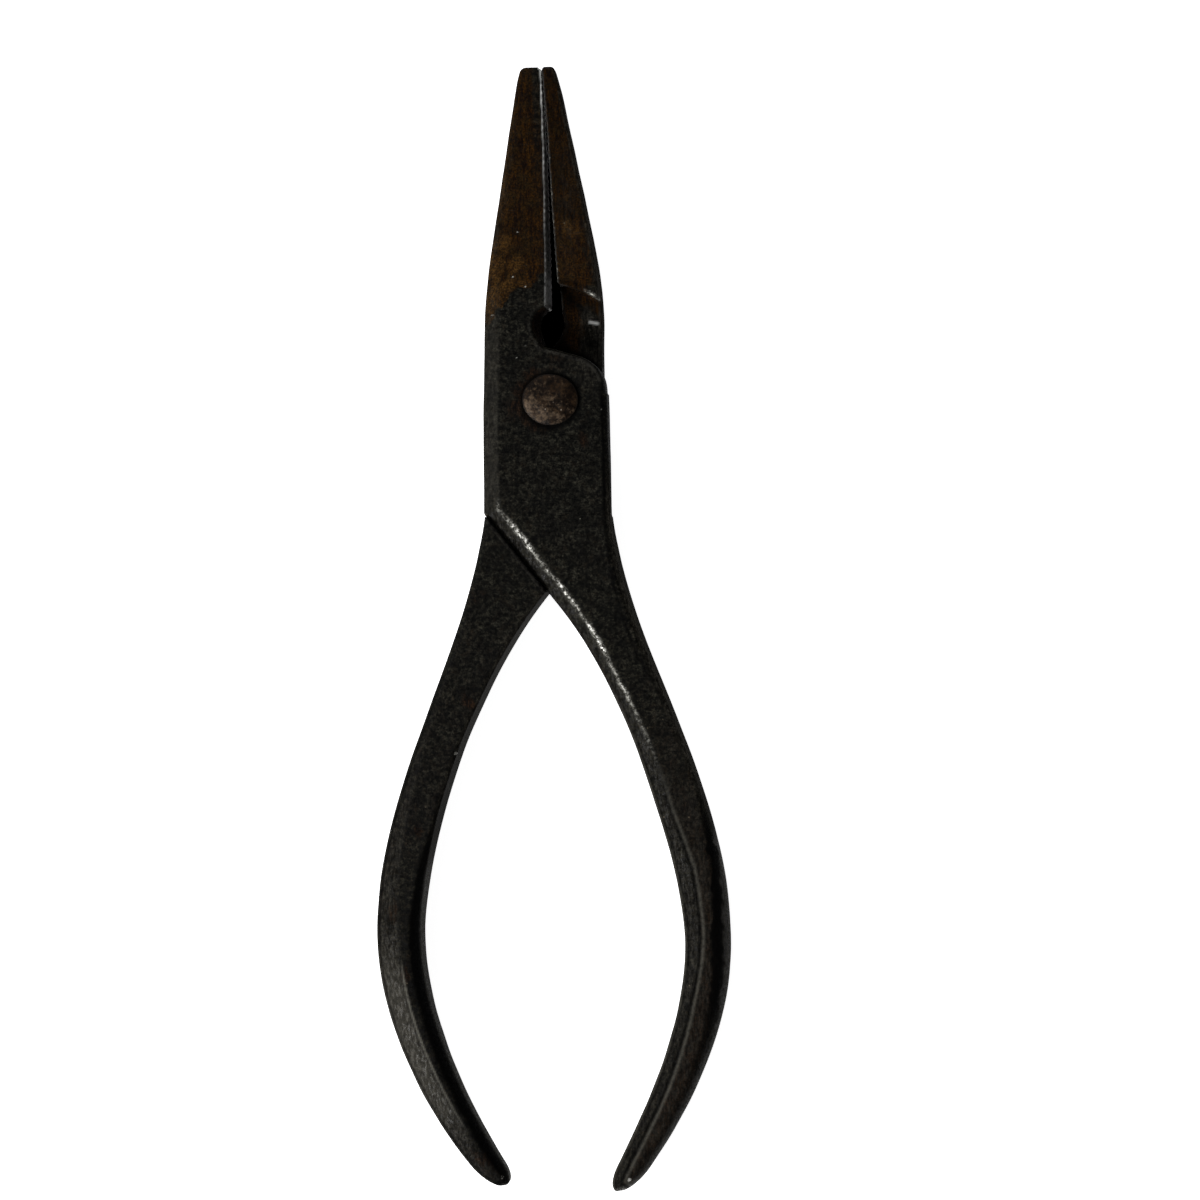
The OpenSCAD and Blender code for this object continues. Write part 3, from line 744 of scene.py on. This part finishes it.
def rear_grime(s, shoulder, under_step, dots):
    """Painted shade: along the plate's diagonal and its top edge, round the recess, under the shoulder's step
    and on its left half, down the left handle, and between the teeth.
    """
    x, y = s.x, s.y
    # Painted shade along the plate's diagonal
    to_plate = (x - FRONT["crotch_x"]) * math.cos(CROTCH_ANGLE) + (y + CROTCH_Y) * math.sin(CROTCH_ANGLE)
    diagonal = 0.6 * smooth_step(1.8, 0.0, np.abs(to_plate)) * table(y, (-24, 0.5), (-14, 1.0)) * (y < -12)
    # Painted shade in the recess's corner by the hole
    corner = blob(x, y, 2.6, 14.4, 2.8, 2.6) * (s.z < BELOW_TOP)
    # Painted shade on the left half of the shoulder's edge
    brow = 0.6 * smooth_step(0.9, 0.2, shoulder) * smooth_step(5.4, 4.2, x) * (y > 6)
    # Painted shadow of the plate's top edge on the recess floor
    reach = np.interp(x, [1, 3, 6], [2.4, 1.3, 0.6])
    by_plate = smooth_step(reach, 0.2 * reach, plate_distance(FRONT, x, y)) * s.on_lap() * (y > 5)
    # Painted shade beside the slot and between the teeth
    by_slot = 0.8 * smooth_step(2.4, 0.8, x + 0.2 * s.ragged) * (s.z < BELOW_TOP) * (y > 4) * (y < 16)
    between = smooth_step(0.35, 0.1, -s.d_right) * (1 - dots) * (y > BITE_FROM_Y)
    return np.maximum.reduce(
        [diagonal, corner, brow, 0.35 * under_step, rear_bands(s), by_plate, by_slot, between])


def paint_rear(points, plan):
    """The masks of the rear lever, with the right jaw, the recess and the left handle."""
    s = Skin(REAR, points, plan, 12)
    y = s.y
    from_shoulder = np.hypot(s.x + REAR["shoulder_x"], y) - REAR["shoulder_r"]
    under_step = smooth_step(3.2, 1.0, -from_shoulder + 0.5 * s.ragged) * (s.z < BELOW_TOP) * (y > 6)
    shoulder = np.abs(from_shoulder - 0.25)
    dots = smooth_step(0.3, 0.9, np.sin(2 * math.pi * y / TOOTH) + 0.5 * s.ragged)
    facet = smooth_step(s.right_w, 0.8 * s.right_w, -s.d_right) * s.top * (y < 0)
    matte = smooth_step(0.6, 0.2, -s.d_left)
    matte = matte * table(y, (-67, 0), (-56, 1), (-20, 1), (-14, 0), (5, 0), (14, 1))
    # The wall mask makes side walls and the handle's rim lighter: a painted reflection of the floor
    rim = smooth_step(0.3, 0.05, -s.d_left) * table(y, (-108, 0.8), (-68, 0.8), (-58, 0))
    wall = np.maximum(matte * table(y, (-20, 0.3), (5, 0.7)), rim)
    return clipped(
        rust=rear_stain(s, under_step), wear=rear_wear_and_highlight(s, shoulder, dots), gold=rear_gold(s),
        face=rear_face(s), grime=rear_grime(s, shoulder, under_step, dots),
        rub=rear_rub(s, facet, under_step), matte=matte, wall=wall, line=rear_painted_highlight(s, facet))


# Materials


class Nodes:
    """Short calls that add nodes to a material or a world and join them."""

    def __init__(self, owner, coordinates="Object", units=1 / MM):
        self.owner = owner
        owner.use_nodes = True
        self.tree = owner.node_tree
        self.tree.nodes.clear()
        coord = self.add("TexCoord")
        scale = self.add("VectorMath")
        scale.operation = "SCALE"
        scale.inputs["Scale"].default_value = units
        self.tree.links.new(coord.outputs[coordinates], scale.inputs[0])
        self.place = scale.outputs["Vector"]

    def add(self, kind):
        return self.tree.nodes.new("ShaderNode" + kind)

    def put(self, socket, value):
        if isinstance(value, bpy.types.NodeSocket):
            self.tree.links.new(value, socket)
        elif isinstance(value, (tuple, list)) and len(value) == 3 and socket.type == "RGBA":
            socket.default_value = (*value, 1)
        else:
            socket.default_value = value

    def fill(self, node, **values):
        """Sets or joins the inputs of those names and gives the first output."""
        for key, value in values.items():
            self.put(node.inputs[key.replace("_", " ")], value)
        return node.outputs[0]

    def math(self, operation, a, b=0.0, c=0.0, clamp=False):
        node = self.add("Math")
        node.operation, node.use_clamp = operation, clamp
        for socket, value in zip(node.inputs, (a, b, c)):
            self.put(socket, value)
        return node.outputs[0]

    def times(self, a, b):
        return self.math("MULTIPLY", a, b)

    def light_path(self, name):
        return self.add("LightPath").outputs[name]

    def axes(self):
        node = self.add("SeparateXYZ")
        self.put(node.inputs[0], self.place)
        return node.outputs["X"], node.outputs["Y"]

    def ramp(self, value, lo, hi, out_lo=0.0, out_hi=1.0, steps="SMOOTHSTEP"):
        node = self.add("MapRange")
        node.interpolation_type = steps
        return self.fill(node, Value=value, From_Min=lo, From_Max=hi, To_Min=out_lo, To_Max=out_hi)

    def mix(self, share, a, b):
        node = self.add("Mix")
        node.data_type = "RGBA"
        self.put(node.inputs["Factor"], share)
        self.put(node.inputs["A"], a)
        self.put(node.inputs["B"], b)
        return node.outputs["Result"]

    def stretched(self, factors):
        node = self.add("VectorMath")
        node.operation = "MULTIPLY"
        self.tree.links.new(self.place, node.inputs[0])
        node.inputs[1].default_value = factors
        return node.outputs["Vector"]

    def noise(self, scale, detail, rough, place=None):
        place = place or self.place
        return self.fill(self.add("TexNoise"), Vector=place, Scale=scale, Detail=detail, Roughness=rough)

    def specks(self, scale, size, rarity):
        """Small spots, one in each cell whose random shade is above the rarity."""
        node = self.add("TexVoronoi")
        spot = self.ramp(self.fill(node, Vector=self.place, Scale=scale), size, size * 0.45)
        return self.times(spot, self.ramp(node.outputs["Color"], rarity, rarity + 0.1))

    def scaled(self, colour, factor):
        node = self.add("VectorMath")
        node.operation = "SCALE"
        self.put(node.inputs[0], colour)
        self.put(node.inputs["Scale"], factor)
        return node.outputs["Vector"]

    def attribute(self, name):
        node = self.add("Attribute")
        node.attribute_name = name
        return node.outputs["Fac"]

    def bump(self, height, strength, distance):
        return self.fill(self.add("Bump"), Strength=strength, Distance=distance * MM, Height=height)

    def surface(self, **values):
        shader = self.fill(self.add("BsdfPrincipled"), **values)
        self.put(self.add("OutputMaterial").inputs["Surface"], shader)
        return self.owner

    def pick(self, share, a, b, output):
        """Ends the tree with a mix of two shaders."""
        mixed = self.add("MixShader")
        for socket, value in zip(mixed.inputs, (share, a, b)):
            self.put(socket, value)
        self.put(self.add(output).inputs["Surface"], mixed.outputs[0])


# Colours in linear light
OXIDE = ((0.0008, 0.0008, 0.0005), (0.0122, 0.0114, 0.0082))
OXIDE_BROWN = (0.0056, 0.0036, 0.0018)
OLD_RUST = ((0.0020, 0.0009, 0.0004), (0.0130, 0.0066, 0.0032))
JAW_RUST = ((0.0036, 0.0010, 0.0002), (0.0215, 0.0084, 0.0006))
DULL_JAW_RUST = (0.0130, 0.0070, 0.0014)
GOLDEN_RUST = (0.0400, 0.0190, 0.0040)
# Rubbed steel, also laid on facets as a painted highlight
HANDLED_STEEL_AND_HIGHLIGHT = (0.0185, 0.0168, 0.0132)
SCRATCHED_STEEL = (0.024, 0.0225, 0.018)
RUBBED_EDGE = (0.036, 0.034, 0.029)
# Painted reflection on side walls and rims
SIDE_WALL_REFLECTION = (0.044, 0.040, 0.032)
BROWN_SPECK = (0.070, 0.056, 0.038)
PALE_SPECK = (0.20, 0.19, 0.16)
# Painted highlight lines
PAINTED_HIGHLIGHT_LINE = (0.095, 0.090, 0.075)
# Worn and bare steel, also used as painted highlights on the ridge and the shoulder
WORN_STEEL_AND_HIGHLIGHT = (0.24, 0.235, 0.21)
BARE_STEEL_AND_HIGHLIGHT = (0.62, 0.61, 0.58)
# Gripping face: pale steel with a painted reflection
GRIP_FACE = (0.86, 0.86, 0.83)
TARNISH = ((0.0048, 0.0023, 0.0010), (0.019, 0.0100, 0.0042))
# Lighter tarnish, also the painted highlight on the rivet's lower left
LIGHT_TARNISH_AND_HIGHLIGHT = (0.054, 0.036, 0.022)
TARNISH_SPECK = (0.16, 0.13, 0.10)
# Painted shade round the rivet head's rim
RIM_SHADE = (0.0030, 0.0020, 0.0015)


def oxide_colour(n, cloud, mottle, grain, pits):
    """Black forging scale, mottled at three sizes, with a brown cast in places."""
    blotch = n.times(n.ramp(cloud, 0.35, 0.65, 0.4, 1.5), n.ramp(grain, 0.38, 0.64, 0.5, 1.5))
    blotch = n.times(blotch, n.ramp(pits, 0.38, 0.6, 0.4, 1.35))
    oxide = n.mix(n.ramp(mottle, 0.42, 0.6), *OXIDE)
    oxide = n.mix(n.ramp(n.noise(1.1, 3, 0.6), 0.5, 0.72, 0, 0.55), oxide, OXIDE_BROWN)
    return n.scaled(oxide, blotch)


def rust_colour(n, cloud, mottle, grain, gold):
    """Streaked rust, from old and dark to the jaws' orange and the golden patch, as the gold mask says."""
    streaks = n.ramp(n.noise(1.0, 4, 0.7, place=n.stretched((2.6, 0.5, 1.0))), 0.4, 0.62)
    jaw_rust = n.mix(n.ramp(cloud, 0.42, 0.66, 0, 0.7), n.mix(streaks, *JAW_RUST), DULL_JAW_RUST)
    rusty = n.mix(n.ramp(gold, 0.0, 0.4), n.mix(streaks, *OLD_RUST), jaw_rust)
    golden = n.times(n.ramp(gold, 0.4, 1.0), n.ramp(mottle, 0.4, 0.58, 0.15, 1.0))
    rusty = n.mix(golden, rusty, GOLDEN_RUST)
    return n.scaled(rusty, n.ramp(grain, 0.38, 0.64, 0.3, 1.8))


def rubbed_colour(n, colour, mottle, handled_and_highlight, worked):
    """Steel where hands and work have rubbed it, with painted highlights on the lit facets: faces, fine
    scratches, edges, and side walls lightened as a painted reflection.
    """
    colour = n.mix(handled_and_highlight, colour, n.scaled(HANDLED_STEEL_AND_HIGHLIGHT, worked))
    scratch = n.noise(1.0, 3, 0.7, place=n.stretched((0.45, 6.5, 1.0)))
    colour = n.mix(n.ramp(scratch, 0.57, 0.8, 0, 0.5), colour, SCRATCHED_STEEL)
    rubbed = n.times(n.ramp(n.attribute("edge"), 0.1, 0.5), n.ramp(mottle, 0.3, 0.65))
    colour = n.mix(n.times(rubbed, 0.5), colour, RUBBED_EDGE)
    # Side walls and rims: a painted reflection of the pale floor
    return n.mix(n.times(n.attribute("wall"), 0.7), colour, n.scaled(SIDE_WALL_REFLECTION, worked))


def forged_steel(name):
    """Black-oxidised forging: scale mottling, rust where the mask says, bright steel where worn, and the
    painted highlights, reflections and shade that the masks carry.
    """
    n = Nodes(bpy.data.materials.new(name))
    rust, wear, rub, grime = [n.attribute(key) for key in ("rust", "wear", "rub", "grime")]
    cloud = n.noise(0.7, 3, 0.65)
    mottle = n.noise(1.6, 4, 0.75)
    grain = n.noise(4.2, 3, 0.75)
    pits = n.noise(2.5, 4, 0.8, place=n.stretched((0.65, 1.4, 1.0)))
    brushed = n.noise(1.0, 4, 0.8, place=n.stretched((2.6, 0.7, 2.6)))
    ragged = n.math("ADD", rust, n.times(n.math("SUBTRACT", mottle, 0.5), 0.9))
    rust_mask = n.ramp(ragged, 0.24, 0.7)
    rusty = rust_colour(n, cloud, mottle, grain, n.attribute("gold"))
    colour = n.mix(rust_mask, oxide_colour(n, cloud, mottle, grain, pits), rusty)
    # Rubbed steel, and painted highlights on the facets
    handled_and_highlight = n.times(rub, n.ramp(mottle, 0.3, 0.65, 0.45, 1.0))
    worked = n.times(n.ramp(brushed, 0.4, 0.64, 0.25, 1.9), n.ramp(pits, 0.38, 0.6, 0.5, 1.3))
    colour = rubbed_colour(n, colour, mottle, handled_and_highlight, worked)
    colour = n.mix(n.specks(0.8, 0.13, 0.78), colour, BROWN_SPECK)
    colour = n.mix(n.specks(0.42, 0.07, 0.84), colour, PALE_SPECK)
    # Painted highlight lines are mixed in, and the painted shade mask darkens the colour
    line = n.times(n.attribute("line"), n.ramp(mottle, 0.3, 0.6, 0.5, 1.0))
    colour = n.scaled(n.mix(line, colour, PAINTED_HIGHLIGHT_LINE), n.ramp(grime, 0.0, 1.0, 1.0, 0.08, "LINEAR"))
    # Bright steel where worn; on the diagonal ridge and the shoulder's right end also a painted highlight
    broken = n.times(wear, n.ramp(n.noise(1.8, 4, 0.8), 0.38, 0.62, 0.1, 1.5))
    bright = n.ramp(broken, 0.05, 1.1)
    colour = n.mix(bright, colour, WORN_STEEL_AND_HIGHLIGHT)
    colour = n.mix(n.ramp(broken, 0.75, 1.3), colour, BARE_STEEL_AND_HIGHLIGHT)
    # The gripping face: pale steel with a painted reflection, brighter towards the tip
    colour = n.mix(n.attribute("face"), colour, GRIP_FACE)
    metal = n.math("MULTIPLY", bright, 0.7, clamp=True)
    rough = n.ramp(pits, 0.38, 0.6, 0.32, 0.78)
    rough = n.math("MULTIPLY_ADD", n.ramp(brushed, 0.42, 0.6, 0.95, -0.2), rub, rough)
    rough = n.math("ADD", rough, n.times(rust_mask, 0.18))
    rough = n.math("SUBTRACT", rough, n.times(n.math("MAXIMUM", metal, handled_and_highlight), 0.1))
    rough = n.math("ADD", rough, n.math("MULTIPLY_ADD", grime, 0.4, n.attribute("matte")), clamp=True)
    height = n.math("ADD", n.times(mottle, 0.8), n.times(grain, 0.35))
    height = n.math("ADD", height, n.times(brushed, 0.5))
    return n.surface(
        Base_Color=colour, Metallic=metal, Roughness=rough, Normal=n.bump(height, 0.8, 0.08),
        Specular_IOR_Level=0.06,
    )


def rivet_steel():
    """The rivet's worn head: brown tarnish over steel, lighter in patches, with a painted highlight on its
    lower left.
    """
    n = Nodes(bpy.data.materials.new("rivet_steel"))
    mottle = n.noise(0.75, 3, 0.65)
    grain = n.noise(2.0, 4, 0.75)
    patch = n.noise(1.1, 3, 0.6)
    colour = n.mix(n.ramp(mottle, 0.4, 0.6), *TARNISH)
    # Lighter in random patches and in the painted highlight on the lower left
    light = n.math("MULTIPLY_ADD", n.math("SUBTRACT", patch, 0.5), 3.2, n.attribute("rub"))
    light = n.math("MULTIPLY_ADD", n.math("SUBTRACT", grain, 0.5), 1.4, light)
    colour = n.mix(n.ramp(light, 0.3, 1.05), colour, LIGHT_TARNISH_AND_HIGHLIGHT)
    colour = n.scaled(colour, n.ramp(grain, 0.35, 0.65, 0.45, 1.5))
    colour = n.mix(n.specks(0.8, 0.13, 0.55), colour, TARNISH_SPECK)
    # Painted shade at the head's rim
    colour = n.mix(n.attribute("rim_shade"), colour, RIM_SHADE)
    height = n.math("ADD", n.times(mottle, 0.8), n.times(grain, 0.35))
    return n.surface(
        Base_Color=colour, Metallic=0.15, Roughness=n.ramp(mottle, 0.3, 0.7, 0.38, 0.58),
        Normal=n.bump(height, 0.8, 0.12), Specular_IOR_Level=0.12,
    )


# The rivet

# Height of the head's seat, its half width and half height, and the size of its dents and nib
HEAD_SEAT = BODY_T + 0.03
HEAD_HALF = (3.93, 3.6)
DENT = 0.035
NIB = 0.07


def head_rings(turns):
    """The peened head: a low dome with an uneven rim, shallow dents and a small nib in the middle."""
    uneven = waves(21, 6, 2.0, 5.0)
    wide, tall = HEAD_HALF
    dome = [(r, HEAD_SEAT + HEAD_H * (1 - r**2.6) ** 0.7) for r in np.linspace(0, 0.97, 26)]
    rim = [(1.0, HEAD_SEAT + 0.12), (0.995, HEAD_SEAT + 0.02), (0.93, HEAD_SEAT)]
    grow = 1 + 0.012 * uneven(3 * np.cos(turns), 3 * np.sin(turns), 0 * turns)
    rings = []
    for r, z in dome + rim:
        x, y = wide * r * np.cos(turns), tall * r * np.sin(turns)
        height = z + 0 * x
        if r < 0.98:
            dent = DENT * uneven(1.3 * x, 1.3 * y, 0 * x) * (1 - r**6)
            nib = NIB * math.exp(-((r / 0.06) ** 2))
            height = np.minimum(z + dent + nib, HEAD_SEAT + HEAD_H)
        rings.append(np.column_stack([x * grow, y * grow, height]))
    return rings


def make_rivet():
    """The head, the shank and the clenched tail, turned as one skin."""
    turns = np.linspace(0, 2 * math.pi, 144, endpoint=False)
    tail = [(SHANK_R, HEAD_SEAT), (SHANK_R, TAIL_H), (TAIL_R - 0.08, 0.12), (TAIL_R - 0.16, 0.03)]
    tail += [(r, 0.03 * (r / TAIL_R) ** 4) for r in np.linspace(TAIL_R - 0.4, 0.1, 14)]
    rings = head_rings(turns)
    rings += [np.column_stack([r * np.cos(turns), r * np.sin(turns), z + 0 * turns]) for r, z in tail]
    verts = np.vstack(rings)
    n, count = len(turns), len(rings)
    i = np.arange(n)
    faces = [
        np.column_stack([k * n + i, (k + 1) * n + i, (k + 1) * n + (i + 1) % n, k * n + (i + 1) % n])
        for k in range(count - 1)
    ]
    x, y, z = verts.T
    # Painted highlight on the head's lower left and its nib
    middle = np.exp(-((x / 0.3) ** 2 + (y / 0.3) ** 2))
    lower_left = np.clip(0.38 - 0.11 * x - 0.14 * y + middle, 0, 1)
    from_middle = np.hypot(x / HEAD_HALF[0], y / HEAD_HALF[1])
    # Painted shade where the head meets the plate
    rim_shade = smooth_step(0.93, 1.0, from_middle) * (z > HEAD_SEAT - 0.1)
    return build_mesh("rivet_skin", verts, np.vstack(faces), {"rub": lower_left, "rim_shade": rim_shade})


# The stage

# Where the camera is and looks, and half of what it sees at a distance of 1
CAMERA_AT = (46.47, -28.26, 500.0)
CAMERA_AIM = (6.65, -28.26, 4.75)
HALF_VIEW = 85.32 / 496.85
FLOOR_WHITE = 0.94
# The middle of the tool in metres, which the lamps point at
TOOL_MIDDLE = (0, -0.03, 0)


def make_floor():
    """A pale floor that shows white and keeps a soft shadow. Under the slot between the jaws it is painted
    dark, a painted shade where the tool hides it.
    """
    bpy.ops.mesh.primitive_plane_add(size=3.0, location=(0, 0, -0.05 * MM))
    floor = bpy.context.object
    floor.name = "floor"
    n = Nodes(bpy.data.materials.new("pale_floor"))
    seen, mirrored = n.light_path("Is Camera Ray"), n.light_path("Is Glossy Ray")
    x, y = n.axes()
    # Painted shade: under the slot the floor's white is cut where ambient occlusion finds it hidden
    along = n.ramp(y, 8, 47, 0, 1, "LINEAR")
    slot_x, slot_half = n.math("MULTIPLY_ADD", along, -1.8, 0.3), n.math("MULTIPLY_ADD", along, -2.6, 3.9)
    off = n.math("ABSOLUTE", n.math("SUBTRACT", x, slot_x))
    out_of_slot = n.ramp(n.math("SUBTRACT", off, slot_half), 0.0, 0.6)
    out_of_slot = n.math("MAXIMUM", out_of_slot, n.ramp(y, 2, 4, 1, 0))
    out_of_slot = n.math("MAXIMUM", out_of_slot, n.ramp(y, 46.5, 47.5))
    gap = n.add("AmbientOcclusion")
    gap.inputs["Distance"].default_value = 12 * MM
    gap.samples = 16
    pale = n.math("MAXIMUM", out_of_slot, n.ramp(gap.outputs["AO"], 0.45, 0.65))
    pale = n.math("MAXIMUM", pale, n.math("SUBTRACT", 1.0, seen))
    strength = n.math("MULTIPLY_ADD", mirrored, 0.25, n.times(pale, seen))
    both = n.add("AddShader")
    n.put(both.inputs[0], n.fill(n.add("BsdfDiffuse"), Color=n.times(pale, 0.8)))
    n.put(both.inputs[1], n.fill(n.add("Emission"), Color=(FLOOR_WHITE,) * 3, Strength=strength))
    from_below = n.add("NewGeometry").outputs["Backfacing"]
    n.pick(from_below, both.outputs[0], n.add("BsdfTransparent").outputs[0], "OutputMaterial")
    floor.data.materials.append(n.owner)


def make_world():
    """White where the camera looks past the floor; a dim room that is a little lighter on the left."""
    world = bpy.data.worlds.new("studio")
    bpy.context.scene.world = world
    n = Nodes(world, "Generated", 1.0)
    dim = n.ramp(n.axes()[0], -0.9, 0.6, 0.5, 0.05, "LINEAR")
    room, white = [n.fill(n.add("Background"), Color=(1, 1, 1), Strength=light) for light in (dim, 1.0)]
    n.pick(n.light_path("Is Camera Ray"), room, white, "OutputWorld")


def make_lamp(name, place, size, power):
    light = bpy.data.lights.new(name, "AREA")
    light.shape = "RECTANGLE"
    light.size, light.size_y = size
    light.energy = power
    lamp = bpy.data.objects.new(name, light)
    bpy.context.scene.collection.objects.link(lamp)
    lamp.location = place
    lamp.rotation_mode = "QUATERNION"
    lamp.rotation_quaternion = (Vector(TOOL_MIDDLE) - Vector(place)).to_track_quat("-Z", "Y")
    return lamp


def light_back(pieces):
    """A lamp below the floor that reaches only the tool, so that its back can be seen from below."""
    lamp = make_lamp("under", (-0.1, -0.5, -0.4), (0.25, 0.25), 4.5)
    reached = bpy.data.collections.new("lit_from_below")
    for piece in pieces:
        reached.objects.link(piece)
    lamp.light_linking.receiver_collection = reached
    lamp.light_linking.blocker_collection = reached


def make_camera():
    """A little to the right of the tool and square to it, as the photograph was taken."""
    place, target = Vector(CAMERA_AT) * MM, Vector(CAMERA_AIM) * MM
    data = bpy.data.cameras.new("camera")
    data.sensor_width = 36
    data.lens = data.sensor_width / 2 / HALF_VIEW
    data.clip_start, data.clip_end = 0.01, 10
    camera = bpy.data.objects.new("camera", data)
    bpy.context.scene.collection.objects.link(camera)
    forward = (target - place).normalized()
    right = forward.cross(Vector((0, 1, 0))).normalized()
    up = right.cross(forward)
    camera.matrix_world = Matrix.Translation(place) @ Matrix((right, up, -forward)).transposed().to_4x4()
    bpy.context.scene.camera = camera


def dress(piece, material, body, node):
    piece.data.materials.append(material)
    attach(piece, body)
    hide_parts(node)


make_camera()
make_world()
make_floor()
make_lamp("key", (-0.45, -0.38, 0.45), (0.26, 0.26), 6.4)
make_lamp("back", (-0.25, 0.7, 0.5), (0.4, 0.2), 1.2)

front = make_lever("front_skin", FRONT, False, EDGE_WEAR, RELIEF_DRAFT, paint_front)
dress(front, forged_steel("front_steel"), "front", "front_lever")
rear = make_lever("rear_skin", REAR, True, EDGE_WEAR, 0.0, paint_rear)
dress(rear, forged_steel("rear_steel"), "rear", "rear_lever")
rivet = make_rivet()
dress(rivet, rivet_steel(), "rear", "pivot_rivet")
light_back((front, rear, rivet))

bpy.context.scene.view_settings.view_transform = "Standard"
